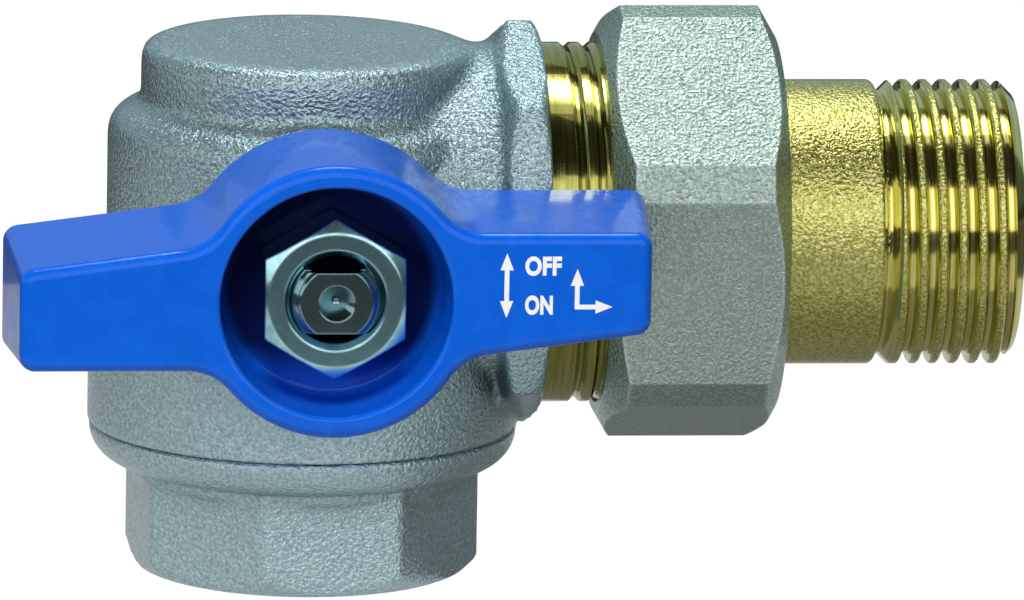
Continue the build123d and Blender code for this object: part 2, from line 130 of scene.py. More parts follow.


# %% [markdown]
# ## Painted edge highlights and painted crease shade
# Edges get a painted highlight, a paler colour laid along them, and creases get painted shade, a
# darker colour laid in them. An edge is where a Bevel node's rounded normal parts from the true
# one. A crease is where ambient occlusion, looking at this piece alone, sees little open sky.
# Painting both by hand would do for one valve, but nodes find them again when a size changes.

# %% Helpers for painted highlights and painted shade
true_normal, bent_normal = 0.998, 0.965  # cosines between which an edge begins to show
closed_sky, open_sky = 0.45, 0.92        # shares of the sky between which a crease fades out


def paint_over(material, shader, share, color):
    nodes, links = material.node_tree.nodes, material.node_tree.links
    mix = nodes.new("ShaderNodeMix")
    mix.data_type = "RGBA"
    links.new(share, mix.inputs["Factor"])
    links.new(shader.inputs["Base Color"].links[0].from_socket, mix.inputs["A"])
    mix.inputs["B"].default_value = (*color, 1)
    links.new(mix.outputs["Result"], shader.inputs["Base Color"])


# Painted highlight: a paler base colour laid along the edges.
def painted_edge_highlight(material, shader, color, width, share):
    nodes, links = material.node_tree.nodes, material.node_tree.links
    rounded = nodes.new("ShaderNodeBevel")
    rounded.samples = 8
    rounded.inputs["Radius"].default_value = width
    true = nodes.new("ShaderNodeNewGeometry")
    agree = nodes.new("ShaderNodeVectorMath")
    agree.operation = "DOT_PRODUCT"
    links.new(rounded.outputs["Normal"], agree.inputs[0])
    links.new(true.outputs["Normal"], agree.inputs[1])
    near = nodes.new("ShaderNodeMapRange")
    near.inputs["From Min"].default_value = true_normal
    near.inputs["From Max"].default_value = bent_normal
    near.inputs["To Max"].default_value = share
    links.new(agree.outputs["Value"], near.inputs["Value"])
    paint_over(material, shader, near.outputs["Result"], color)


# Painted shade: the base colour is darkened where ambient occlusion finds a crease.
def painted_crease_shade(material, shader, reach, darkest):
    nodes, links = material.node_tree.nodes, material.node_tree.links
    sky = nodes.new("ShaderNodeAmbientOcclusion")
    sky.samples = 8
    sky.only_local = True
    sky.inputs["Distance"].default_value = reach
    clean = nodes.new("ShaderNodeMapRange")
    clean.inputs["From Min"].default_value = closed_sky
    clean.inputs["From Max"].default_value = open_sky
    clean.inputs["To Min"].default_value = darkest
    links.new(sky.outputs["AO"], clean.inputs["Value"])
    shade = nodes.new("ShaderNodeMix")
    shade.data_type = "RGBA"
    shade.blend_type = "MULTIPLY"
    shade.inputs["Factor"].default_value = 1.0
    links.new(shader.inputs["Base Color"].links[0].from_socket, shade.inputs["A"])
    links.new(clean.outputs["Result"], shade.inputs["B"])
    links.new(shade.outputs["Result"], shader.inputs["Base Color"])


# %% [markdown]
# ## Blasted metals
# The body, the inlet adapter and the union nut are forged, shot-blasted and nickel plated. The shot
# leaves tiny dents, about a third of a millimetre wide, that catch the light as bright and dark
# grains. The tailpiece is blasted too, but its brass stays bare. The handle nut is zinc plated over
# smoother steel and looks faintly blue-green. One function makes them all from their own values.

# %% Blasted metals
# The colour of the painted edge highlight.
edge_highlight_colour = (0.80, 0.93, 0.95)
# How far and how dark the painted crease shade reaches.
crease_shade_reach, crease_shade_darkest = 6.0 * mm, 0.25


def blasted(name, dark, light, grain_size, depth, roughness, edge,
            strength=1.0, edge_highlight_share=0.0, edge_highlight_width=0.7 * mm):
    material, shader = new_material(name, 1.0)
    links = material.node_tree.links
    grains = grain(material, 1 / grain_size, 3.0)
    smoothest, roughest = roughness
    links.new(ramp(material, grains, 0.35, 0.65, dark, light), shader.inputs["Base Color"])
    links.new(spread(material, grains, roughest, smoothest), shader.inputs["Roughness"])
    dents(material, shader, grains, depth, strength, edge)
    # A share above zero lays a painted highlight along edges and painted shade in creases.
    if edge_highlight_share:
        painted_edge_highlight(material, shader, edge_highlight_colour, edge_highlight_width, edge_highlight_share)
        painted_crease_shade(material, shader, crease_shade_reach, crease_shade_darkest)
    return material


blasted_nickel = blasted("blasted_nickel", dark=(0.375, 0.53, 0.565), light=(0.53, 0.71, 0.745),
                         grain_size=0.42 * mm, depth=0.29 * mm, roughness=(0.15, 0.26),
                         edge=0.35 * mm, edge_highlight_share=0.45, edge_highlight_width=1.0 * mm)
nut_nickel = blasted("nut_nickel", dark=(0.34, 0.45, 0.40), light=(0.51, 0.65, 0.58),
                     grain_size=0.38 * mm, depth=0.21 * mm, roughness=(0.22, 0.34),
                     edge=0.35 * mm, edge_highlight_share=0.6)
blasted_brass = blasted("blasted_brass", dark=(0.45, 0.45, 0.10), light=(0.82, 0.785, 0.30),
                        grain_size=0.40 * mm, depth=0.19 * mm, roughness=(0.14, 0.24),
                        edge=0.15 * mm)
zinc_plate = blasted("zinc_plate", dark=(0.33, 0.67, 0.76), light=(0.49, 0.88, 0.96),
                     grain_size=1.6 * mm, depth=0.03 * mm, roughness=(0.13, 0.22),
                     edge=0.45 * mm, strength=0.4, edge_highlight_share=0.5)
print("blasted metals:", blasted_nickel.name, nut_nickel.name, blasted_brass.name, zinc_plate.name)

# %% [markdown]
# ## Turned metals
# A lathe leaves fine rings round its axis, so the grain is squeezed along the axis and drawn out
# around it. The bare brass threads and the polished ball come from here, each with its own colour
# and gloss. The spigot sits in the shade between flange and nut, so its brass is given a darker
# colour as painted shade.

# %% Turned metals
turning_scale = 3000
round_outlet = (1, 0.03, 0.03)
polished = (0.3, 0.3, 0.3)


def turned(name, dark, light, stretch, roughness, depth, strength):
    material, shader = new_material(name, 1.0)
    links = material.node_tree.links
    rings = grain(material, turning_scale, 2.0, stretch)
    links.new(ramp(material, rings, 0.35, 0.65, dark, light), shader.inputs["Base Color"])
    links.new(spread(material, rings, roughness * 0.8, roughness * 1.3), shader.inputs["Roughness"])
    dents(material, shader, rings, depth, strength)
    return material


cut_brass = turned("cut_brass", dark=(0.56, 0.525, 0.16), light=(0.80, 0.76, 0.33),
                   stretch=round_outlet, roughness=0.11, depth=0.02 * mm, strength=0.2)
# Painted shade: the same brass, darker for the shade between flange and nut.
spigot_brass_painted_shade = turned("spigot_brass_painted_shade", dark=(0.33, 0.32, 0.075), light=(0.48, 0.465, 0.14),
                      stretch=round_outlet, roughness=0.11, depth=0.02 * mm, strength=0.2)
ball_chrome = turned("ball_chrome", dark=(0.72, 0.73, 0.75), light=(0.84, 0.85, 0.87),
                     stretch=polished, roughness=0.07, depth=0.005 * mm, strength=0.1)
print("turned metals:", cut_brass.name, spigot_brass_painted_shade.name, ball_chrome.name)

# %% [markdown]
# The stem's end face was turned too, so its rings run round the stem itself. A Wave texture of
# rings about the stem axis gives them, and its bump makes the light fan out across the dimple. The
# Wave node draws 20 rings in a length of 2 pi, which sets its scale for a wanted pitch.

# %% Stem metal
ring_pitch = 0.14 * mm


def about_stem(material):
    nodes, links = material.node_tree.nodes, material.node_tree.links
    place = nodes.new("ShaderNodeTexCoord")
    centring = nodes.new("ShaderNodeMapping")
    centring.inputs["Location"].default_value = (0, 0, -axis_height)
    links.new(place.outputs["Object"], centring.inputs["Vector"])
    return centring.outputs["Vector"]


stem_metal, stem_shader = new_material("stem_metal", 1.0)
nodes, links = stem_metal.node_tree.nodes, stem_metal.node_tree.links
rings = nodes.new("ShaderNodeTexWave")
rings.wave_type = "RINGS"
rings.rings_direction = "Y"
rings.inputs["Scale"].default_value = 2 * pi / (20 * ring_pitch)
rings.inputs["Distortion"].default_value = 0.6
links.new(about_stem(stem_metal), rings.inputs["Vector"])
steel = ramp(stem_metal, rings.outputs["Fac"], 0.2, 0.8, (0.21, 0.34, 0.37), (0.28, 0.44, 0.47))
links.new(steel, stem_shader.inputs["Base Color"])
links.new(spread(stem_metal, rings.outputs["Fac"], 0.10, 0.17), stem_shader.inputs["Roughness"])
dents(stem_metal, stem_shader, rings.outputs["Fac"], depth=0.006 * mm, strength=0.3, edge=0.25 * mm)
print("stem rings every", round(ring_pitch / mm, 2), "mm")

# %% [markdown]
# ## Enamel, seals and print
# The handle is die-cast and enamelled blue: a coloured coat with a clear gloss and the faint waves
# called orange peel. Seats, washers and o-rings are hidden deep in the valve, but they show when
# someone looks into a port, so they get a quiet speckle of their own.

# %% Enamel, seals and print
enamel_coat, enamel_gloss = 0.4, 0.06


def coated(name, dark, light, grain_size, roughness, depth, strength, **sockets):
    material, shader = new_material(name, 0.0, **sockets)
    links = material.node_tree.links
    waves = grain(material, 1 / grain_size, 2.0)
    gloss = spread(material, waves, roughness * 0.85, roughness * 1.2)
    links.new(ramp(material, waves, 0.3, 0.7, dark, light), shader.inputs["Base Color"])
    links.new(gloss, shader.inputs["Roughness"])
    dents(material, shader, waves, depth, strength)
    return material


blue_enamel = coated("blue_enamel", dark=(0.002, 0.118, 0.71), light=(0.003, 0.134, 0.77),
                     grain_size=3.0 * mm, roughness=0.26, depth=0.04 * mm, strength=0.10,
                     Coat_Weight=enamel_coat, Coat_Roughness=0.05,
                     Specular_IOR_Level=enamel_gloss)
seat_plastic = coated("seat_plastic", dark=(0.80, 0.80, 0.77), light=(0.90, 0.90, 0.87),
                      grain_size=1.5 * mm, roughness=0.42, depth=0.02 * mm, strength=0.2)
seal_rubber = coated("seal_rubber", dark=(0.015, 0.015, 0.015), light=(0.035, 0.035, 0.035),
                     grain_size=0.5 * mm, roughness=0.6, depth=0.03 * mm, strength=0.3)
gasket_fibre = coated("gasket_fibre", dark=(0.20, 0.26, 0.20), light=(0.32, 0.38, 0.32),
                      grain_size=0.4 * mm, roughness=0.75, depth=0.05 * mm, strength=0.5)
white_print = coated("white_print", dark=(0.96, 0.97, 0.98), light=(1.0, 1.0, 1.0),
                     grain_size=0.3 * mm, roughness=0.4, depth=0.01 * mm, strength=0.2)
print("coats:", blue_enamel.name, seat_plastic.name, seal_rubber.name, gasket_fibre.name,
      white_print.name)

# %% [markdown]
# The deep cup round the handle nut gets painted shade. The enamel fades to a near-black blue with
# depth and towards the nut, measured from the stem axis, and its coat and gloss fade with it. The
# lower side of the cup, where light from above falls, keeps its blue.

# %% Paint shade into the cup
# Painted shade: the near-black blue laid into the cup.
cup_shade_colour = (0.002, 0.010, 0.07)
nodes, links = blue_enamel.node_tree.nodes, blue_enamel.node_tree.links
enamel = nodes["Principled BSDF"]


def fade(value, start, end, low=0.0, high=1.0):
    step = nodes.new("ShaderNodeMapRange")
    step.interpolation_type = "SMOOTHSTEP"
    step.inputs["From Min"].default_value = start
    step.inputs["From Max"].default_value = end
    step.inputs["To Min"].default_value = low
    step.inputs["To Max"].default_value = high
    links.new(value, step.inputs["Value"])
    return step.outputs["Result"]


def both(first, second):
    product = nodes.new("ShaderNodeMath")
    product.operation = "MULTIPLY"
    links.new(first, product.inputs[0])
    links.new(second, product.inputs[1])
    return product.outputs[0]


centred = about_stem(blue_enamel)
flatten = nodes.new("ShaderNodeMapping")
flatten.inputs["Scale"].default_value = (1, 0, 1)
from_stem = nodes.new("ShaderNodeVectorMath")
from_stem.operation = "LENGTH"
parts = nodes.new("ShaderNodeSeparateXYZ")
links.new(centred, flatten.inputs["Vector"])
links.new(flatten.outputs["Vector"], from_stem.inputs[0])
links.new(centred, parts.inputs["Vector"])
deep = fade(parts.outputs["Y"], -43.5 * mm, -38.0 * mm)
near_nut = fade(from_stem.outputs["Value"], 13.8 * mm, 11.0 * mm)
upper_side = fade(parts.outputs["Z"], -6.0 * mm, -11.5 * mm, 1.0, 0.12)
# The painted shade is strongest deep in the cup, near the nut and on its upper side.
cup_shade_share = both(both(deep, near_nut), upper_side)
links.new(fade(cup_shade_share, 0.0, 0.6, enamel_coat, 0.05), enamel.inputs["Coat Weight"])
links.new(fade(cup_shade_share, 0.0, 0.6, enamel_gloss, 0.02), enamel.inputs["Specular IOR Level"])
paint_over(blue_enamel, enamel, cup_shade_share, cup_shade_colour)
print("the cup fades to", cup_shade_colour)

# %% [markdown]
# ## Pieces that keep their CAD shape
# The nuts, the handle, the ball and the seals need nothing but a finish, so each CAD node stays as
# it is and only its material changes. The rest get copies of their meshes further down.

# %% Finish the CAD nodes that stay
finishes = {
    "union_nut": nut_nickel, "handle": blue_enamel,
    "handle_nut": zinc_plate, "ball": ball_chrome, "lower_seat": seat_plastic,
    "upper_seat": seat_plastic, "stem_washer": seat_plastic, "adapter_o_ring": seal_rubber,
    "inner_stem_o_ring": seal_rubber, "outer_stem_o_ring": seal_rubber,
    "union_gasket": gasket_fibre,
}
for node, finish in finishes.items():
    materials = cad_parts[node].data.materials
    materials.clear()
    materials.append(finish)
print("finished", len(finishes), "CAD nodes")

# %% [markdown]
# ## Copies to work on
# A CAD mesh is loose triangles, so a copy has its doubles merged before anything is cut into it.
# Every operator then works on the one active object, which `only` picks.

# %% Helpers for copies
def only(piece):
    bpy.ops.object.select_all(action="DESELECT")
    piece.select_set(True)
    bpy.context.view_layer.objects.active = piece


def node_copy(node, name):
    piece = bpy.data.objects.new(name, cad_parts[node].data.copy())
    piece.data.materials.clear()
    scene.collection.objects.link(piece)
    only(piece)
    bpy.ops.mesh.customdata_custom_splitnormals_clear()
    bpy.ops.object.mode_set(mode="EDIT")
    bpy.ops.mesh.select_all(action="SELECT")
    bpy.ops.mesh.remove_doubles(threshold=0.002 * mm)
    bpy.ops.object.mode_set(mode="OBJECT")
    return piece


# %% [markdown]
# ## Cut threads
# The solids carry their threads as plain cylinders at the outer diameter, so a thread is cut into
# a copy, just as a die would cut it. The cutter is one groove profile, turned into a helix by the
# Screw modifier, closed at both ends, and taken away by a Boolean. Drawing rings would be easier,
# but rings don't climb, and a thread seen from the side gives that away at once. The groove's mouth
# bends outwards in two steps, because a real crest has no knife edge.

# %% Helpers for threads
coil_steps = 72
smooth_angle = radians(32)
pipe_pitch = 2.309 * mm
along_outlet = (0, pi / 2, 0)
along_stem = (pi / 2, 0, 0)


def helix(name, profile, pitch, turns, start, turn_by):
    bpy.ops.object.select_all(action="DESELECT")
    bpy.ops.mesh.primitive_circle_add(vertices=len(profile), radius=mm, fill_type="NGON")
    coil = bpy.context.active_object
    coil.name = name
    corners = list(coil.data.polygons[0].vertices)
    for corner, (r, along) in zip(corners, profile):
        coil.data.vertices[corner].co = (r, 0, along)
    bpy.ops.object.modifier_add(type="SCREW")
    screw = coil.modifiers[-1]
    screw.axis = "Z"
    screw.screw_offset = pitch
    screw.iterations = turns
    screw.steps = coil_steps
    screw.render_steps = coil_steps
    bpy.ops.object.modifier_apply(modifier=screw.name)
    bpy.ops.object.mode_set(mode="EDIT")
    bpy.ops.mesh.select_all(action="SELECT")
    bpy.ops.mesh.fill_holes(sides=0)
    bpy.ops.mesh.select_all(action="SELECT")
    bpy.ops.mesh.normals_make_consistent(inside=False)
    bpy.ops.object.mode_set(mode="OBJECT")
    coil.rotation_euler = turn_by
    coil.location = start
    bpy.ops.object.transform_apply(location=True, rotation=True, scale=True)
    return coil


def groove(major_r, depth, pitch, crest, root):
    mouth = (pitch - crest) / 2
    side = [(major_r - depth, root / 2),
            (major_r - 0.45 * crest, mouth - 0.5 * crest),
            (major_r - 0.18 * crest, mouth - 0.22 * crest),
            (major_r + 0.25 * crest, mouth + 0.3 * crest)]
    return side + [(r, -along) for r, along in reversed(side)]


def cut_thread(piece, cutter):
    only(piece)
    bpy.ops.object.modifier_add(type="BOOLEAN")
    cut = piece.modifiers[-1]
    cut.operation = "DIFFERENCE"
    cut.solver = "EXACT"
    cut.object = cutter
    bpy.ops.object.modifier_apply(modifier=cut.name)
    bpy.data.objects.remove(cutter)
    only(piece)
    bpy.ops.object.shade_smooth_by_angle(angle=smooth_angle)
    print(piece.name, "has", len(piece.data.polygons), "faces after its thread is cut")


# %% [markdown]
# ## Forged body
# A forging leaves its die with every crease rounded, and plating rounds it further. Solids keep the
# creases where barrel, cap and neck cross, so the body is a copy that is rebuilt from small voxels
# and relaxed by the Smooth modifier. A vertex group holds back the bores, the joint face and the
# stem boss, which are machined and stay true. The spigot is taken off first: it is bare brass.

# %% Helpers for softened castings
def halve(piece, x, keep_right):
    only(piece)
    bpy.ops.object.mode_set(mode="EDIT")
    bpy.ops.mesh.select_all(action="SELECT")
    bpy.ops.mesh.bisect(plane_co=(x, 0, 0), plane_no=(1, 0, 0), threshold=0.001 * mm,
                        clear_inner=keep_right, clear_outer=not keep_right)
    bpy.ops.mesh.select_all(action="DESELECT")
    bpy.ops.mesh.select_non_manifold(extend=False)
    bpy.ops.mesh.bridge_edge_loops()
    bpy.ops.mesh.select_all(action="SELECT")
    bpy.ops.mesh.normals_make_consistent(inside=False)
    bpy.ops.object.mode_set(mode="OBJECT")


def relax(piece, rounds, softness):
    only(piece)
    soft = piece.vertex_groups.new(name="soft")
    for v in piece.data.vertices:
        soft.add([v.index], softness(v.co / mm), "REPLACE")
    bpy.ops.object.modifier_add(type="SMOOTH")
    easing = piece.modifiers[-1]
    easing.factor = 0.5
    easing.iterations = rounds
    easing.vertex_group = soft.name
    bpy.ops.object.modifier_apply(modifier=easing.name)
    piece.vertex_groups.clear()


def soften(piece, voxel, rounds, softness):
    only(piece)
    bpy.ops.object.modifier_add(type="REMESH")
    rebuild = piece.modifiers[-1]
    rebuild.mode = "VOXEL"
    rebuild.voxel_size = voxel
    bpy.ops.object.modifier_apply(modifier=rebuild.name)
    relax(piece, rounds, softness)
    bpy.ops.object.shade_smooth()
    print(piece.name, "has", len(piece.data.polygons), "faces after softening")


def between(value, low, high):
    return min(1.0, max(0.0, (value - low) / (high - low)))


# %% [markdown]
# How soft each place is depends on how far it lies from the machined surfaces, in millimetres. The
# cap's rim is the roundest edge of the forging, so it is relaxed once more on its own.

# %% Rebuild the forging
spigot_from = 26.95 * mm
held = 0.08
outlet_bore_r, stem_bore_r, boss_from = 14, 9, -25.5
chamber_r, chamber_top = 18.6, 18.5
joint_low, joint_high = 17.2, 19.5
flange_low, flange_high, flange_held = 20.5, 22.5, 0.75
rim_r, rim_z, rim_near, rim_far = 19.3, 61.8, 2.5, 4.5


def body_softness(at):
    x, y, z = at.x, at.y, at.z - axis_height / mm
    in_outlet = hypot(y, z) < outlet_bore_r and x > 0
    in_chamber = hypot(x, y) < chamber_r and z < chamber_top
    if in_outlet or in_chamber or hypot(x, z) < stem_bore_r or y < boss_from:
        return held
    joint = between(at.z, joint_low, joint_high)
    flange = 1 - flange_held * between(x, flange_low, flange_high)
    return held + (1 - held) * joint * flange


def cap_rim(at):
    from_rim = hypot(hypot(at.x, at.y) - rim_r, at.z - rim_z)
    return 1 - between(from_rim, rim_near, rim_far)


body_forging = node_copy("valve_body", "body_forging")
halve(body_forging, spigot_from, False)
soften(body_forging, 0.48 * mm, 8, body_softness)
relax(body_forging, 24, cap_rim)
body_forging.data.materials.append(blasted_nickel)
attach(body_forging, "valve")
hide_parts("valve_body")

# %% [markdown]
# ## Inlet adapter
# The adapter is forged and blasted like the body, with crisper wrench flats, so it gets finer
# voxels and fewer rounds. Its bore and its screw inside the body are machined and held.

# %% Soften the inlet adapter
inlet_bore_r, screw_low, screw_high = 17.6, 15.2, 16.6


def adapter_softness(at):
    if hypot(at.x, at.y) < inlet_bore_r:
        return held
    return held + (1 - held) * (1 - between(at.z, screw_low, screw_high))


adapter_shell = node_copy("inlet_adapter", "adapter_shell")
soften(adapter_shell, 0.42 * mm, 3, adapter_softness)
adapter_shell.data.materials.append(blasted_nickel)
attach(adapter_shell, "valve")
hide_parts("inlet_adapter")

# %% [markdown]
# ## Outlet spigot
# The union thread is cut after plating and shows bare brass. Its crests are broad, so the groove is
# narrower and shallower than a full pipe thread.

# %% Cut the union thread on the spigot
union_r = 20.95 * mm
union_start = (29.0 * mm, 0, axis_height)
outlet_spigot = node_copy("valve_body", "outlet_spigot")
halve(outlet_spigot, spigot_from, True)
union_groove = groove(union_r, depth=1.0 * mm, pitch=pipe_pitch, crest=0.9 * mm, root=0.35 * mm)
cut_thread(outlet_spigot,
           helix("union_groove", union_groove, pipe_pitch, 8, union_start, along_outlet))
outlet_spigot.data.materials.append(spigot_brass_painted_shade)
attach(outlet_spigot, "valve")
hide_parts("valve_body")

# %% [markdown]
# ## Tailpiece with its pipe thread
# The tube's skin is blasted before the thread is cut, so crests stay speckled while flanks and
# roots shine. Sorting the faces by their distance from the axis gives each its finish.

# %% Cut the pipe thread on the tailpiece
tail_r = 16.6 * mm
tail_start = (67.65 * mm, 0, axis_height)
skin = 0.18 * mm
tail_tube = node_copy("tailpiece", "tail_tube")
tail_groove = groove(tail_r, depth=1.3 * mm, pitch=pipe_pitch, crest=0.5 * mm, root=0.5 * mm)
cut_thread(tail_tube, helix("tail_groove", tail_groove, pipe_pitch, 7, tail_start, along_outlet))
tail_tube.data.materials.append(blasted_brass)
tail_tube.data.materials.append(cut_brass)
for face in tail_tube.data.polygons:
    out = Vector((0, face.center.y, face.center.z - axis_height))
    on_skin = out.length > tail_r - skin and abs(face.normal.x) < 0.8
    face.material_index = int(not on_skin)
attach(tail_tube, "tail")
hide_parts("tailpiece")

# %% [markdown]
# ## Stem end
# The stem ends in a screw with two flats, and its thread shows where it stands out of the nut.

# %% Cut the screw on the stem
stem_r, stem_pitch, stem_end = 5.0 * mm, 1.25 * mm, 46.4 * mm
stem_start = (0, -stem_end + 3.4 * mm, axis_height)
stem_screw = node_copy("stem", "stem_screw")
stem_groove = groove(stem_r, depth=0.6 * mm, pitch=stem_pitch, crest=0.3 * mm, root=0.15 * mm)
cut_thread(stem_screw, helix("stem_groove", stem_groove, stem_pitch, 4, stem_start, along_stem))
stem_screw.data.materials.append(stem_metal)
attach(stem_screw, "rotor")
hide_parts("stem")

# %% [markdown]
# ## Inlet thread
# The female thread below stands inwards from the bore, so here the helix itself is the piece: a
# ridge whose outer edge lies a hair inside the wall of the adapter.

# %% Lay the ridge in the inlet
inlet_r, ridge_height = 16.65 * mm, 1.45 * mm
half_crest, half_foot, rooted = 0.25 * mm, 0.98 * mm, 0.05 * mm
ridge = [(inlet_r - ridge_height, -half_crest), (inlet_r - ridge_height, half_crest),
         (inlet_r + rooted, half_foot), (inlet_r + rooted, -half_foot)]
inlet_ridge = helix("inlet_ridge", ridge, pipe_pitch, 5, (0, 0, 2.0 * mm), (0, 0, 0))
only(inlet_ridge)
bpy.ops.object.shade_smooth_by_angle(angle=smooth_angle)
inlet_ridge.data.materials.append(cut_brass)
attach(inlet_ridge, "valve")
print("inlet ridge has", len(inlet_ridge.data.polygons), "faces")

# %% [markdown]
# ## Printed marks
# White pad print on the right wing says which way is open: the two words, a double arrow and a
# bent arrow for the flow. Ink is a few hundredths of a millimetre thick, so each mark is a flat
# mesh given that thickness and laid on the handle's front face.

# %% Helpers for print
handle_front = -46.4 * mm
ink = 0.03 * mm
letter_weight, letter_gap = 0.048, 1.06


def lay_ink(mark):
    only(mark)
    bpy.ops.object.modifier_add(type="SOLIDIFY")
    film = mark.modifiers[-1]
    film.thickness = ink
    film.offset = 0
    bpy.ops.object.modifier_apply(modifier=film.name)
    bpy.ops.object.mode_set(mode="EDIT")
    bpy.ops.mesh.select_all(action="SELECT")
    bpy.ops.mesh.normals_make_consistent(inside=False)
    bpy.ops.object.mode_set(mode="OBJECT")
    bpy.ops.object.shade_flat()
    mark.data.materials.clear()
    mark.data.materials.append(white_print)
    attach(mark, "rotor")


def word(name, text, left, foot, height, width):
    bpy.ops.object.select_all(action="DESELECT")
    bpy.ops.object.text_add(location=(0, 0, 0))
    letters = bpy.context.active_object
    letters.name = name
    letters.data.body = text
    letters.data.offset = letter_weight
    letters.data.space_character = letter_gap
    bpy.ops.object.convert(target="MESH")
    low = [min(v.co[k] for v in letters.data.vertices) for k in (0, 1)]
    high = [max(v.co[k] for v in letters.data.vertices) for k in (0, 1)]
    for v in letters.data.vertices:
        across = (v.co.x - low[0]) / (high[0] - low[0])
        up = (v.co.y - low[1]) / (high[1] - low[1])
        v.co = (left + across * width, handle_front, foot + up * height)
    lay_ink(letters)


def flat_shape(name, outline):
    bpy.ops.object.select_all(action="DESELECT")
    bpy.ops.mesh.primitive_circle_add(vertices=len(outline), radius=mm, fill_type="NGON")
    mark = bpy.context.active_object
    mark.name = name
    corners = list(mark.data.polygons[0].vertices)
    for corner, (x, z) in zip(corners, outline):
        mark.data.vertices[corner].co = (x, handle_front, z)
    lay_ink(mark)


# %% [markdown]
# Both arrows share one stroke and one head. Their outlines go round from the upper tip.

# %% Print the marks
word("word_off", "OFF", 21.25 * mm, 43.7 * mm, 2.25 * mm, 4.15 * mm)
word("word_on", "ON", 21.3 * mm, 39.2 * mm, 2.25 * mm, 3.15 * mm)
stroke, head, head_length = 0.27 * mm, 0.76 * mm, 1.95 * mm
x, low, high = 19.2 * mm, 38.85 * mm, 46.3 * mm
upper, lower = high - head_length, low + head_length
flat_shape("turn_arrow", [
    (x, high), (x - head, upper), (x - stroke, upper), (x - stroke, lower), (x - head, lower),
    (x, low), (x + head, lower), (x + stroke, lower), (x + stroke, upper), (x + head, upper)])
x, foot, high, far = 27.2 * mm, 40.1 * mm, 44.5 * mm, 31.25 * mm
upper, outer = high - head_length, far - head_length
flat_shape("flow_arrow", [
    (x, high), (x - head, upper), (x - stroke, upper), (x - stroke, foot - stroke),
    (outer, foot - stroke), (outer, foot - head), (far, foot), (outer, foot + head),
    (outer, foot + stroke), (x + stroke, foot + stroke), (x + stroke, upper), (x + head, upper)])
print("printed two words and two arrows")

# %% [markdown]
# ## A small studio
# Metal is only as good as what it reflects. The valve stands on a white table in a white tent. The
# table's white comes from its own glow wherever the camera or a mirror sees it, so the lamps can be
# set for the object alone. A little matte is left in, which takes the soft shadow.

# %% Table
floor_z = cad_box[0][2]
table_glow, glow_share, matte_grey = 1.1, 0.93, (0.5, 0.5, 0.5, 1)


def seen_or_mirrored(nodes, links):
    path = nodes.new("ShaderNodeLightPath")
    mask = path.outputs["Is Camera Ray"]
    for ray in ("Is Glossy Ray", "Is Transmission Ray"):
        either = nodes.new("ShaderNodeMath")
        either.operation = "MAXIMUM"
        links.new(mask, either.inputs[0])
        links.new(path.outputs[ray], either.inputs[1])
        mask = either.outputs[0]
    return mask


bpy.ops.object.select_all(action="DESELECT")
bpy.ops.mesh.primitive_plane_add(size=8, location=(0, 0, floor_z - 0.01 * mm))
floor = bpy.context.active_object
floor.name = "table"
table_white = bpy.data.materials.new("table_white")
table_white.use_nodes = True
nodes, links = table_white.node_tree.nodes, table_white.node_tree.links
nodes.clear()
output = nodes.new("ShaderNodeOutputMaterial")
mix = nodes.new("ShaderNodeMixShader")
matte = nodes.new("ShaderNodeBsdfDiffuse")
matte.inputs["Color"].default_value = matte_grey
glow = nodes.new("ShaderNodeEmission")
glow.inputs["Strength"].default_value = table_glow
share = nodes.new("ShaderNodeMath")
share.operation = "MULTIPLY"
share.inputs[1].default_value = glow_share
links.new(seen_or_mirrored(nodes, links), share.inputs[0])
links.new(share.outputs[0], mix.inputs["Fac"])
links.new(matte.outputs["BSDF"], mix.inputs[1])
links.new(glow.outputs["Emission"], mix.inputs[2])
links.new(mix.outputs["Shader"], output.inputs["Surface"])
floor.data.materials.append(table_white)
print("table at", round(floor_z / mm, 2), "mm")

# %% [markdown]
# ## Flags and panel
# Dark bands hang in the tent, as photographers' flags do, and draw the dark stripes on turned
# brass. Those behind the valve are pale and bluish like daylight, and a bright panel stands round
# the camera. The two inner rings on the table are painted shadow: they darken the mirrored table
# near the valve, most under the nut and tailpiece, and the outer ring dims the far table. All of
# them show in reflections only. A hung band is part of a cylinder, given by its elevations and
# bearings in degrees, with the camera's side at bearing 0.

# %% Helpers for flags
tent_r = 1.1
neutral = (1, 1, 1)
daylight = (0.76, 0.95, 1.0)


def flag(name, level, tint=neutral):
    band = bpy.context.active_object
    band.name = name
    tone = bpy.data.materials.new(name)
    tone.use_nodes = True
    shader = tone.node_tree.nodes["Principled BSDF"]
    shader.inputs["Base Color"].default_value = (0, 0, 0, 1)
    shader.inputs["Specular IOR Level"].default_value = 0
    shader.inputs["Emission Color"].default_value = (*tint, 1)
    shader.inputs["Emission Strength"].default_value = level
    band.data.materials.append(tone)
    band.visible_camera = False
    band.visible_diffuse = False
    band.visible_shadow = False
    band.visible_transmission = False


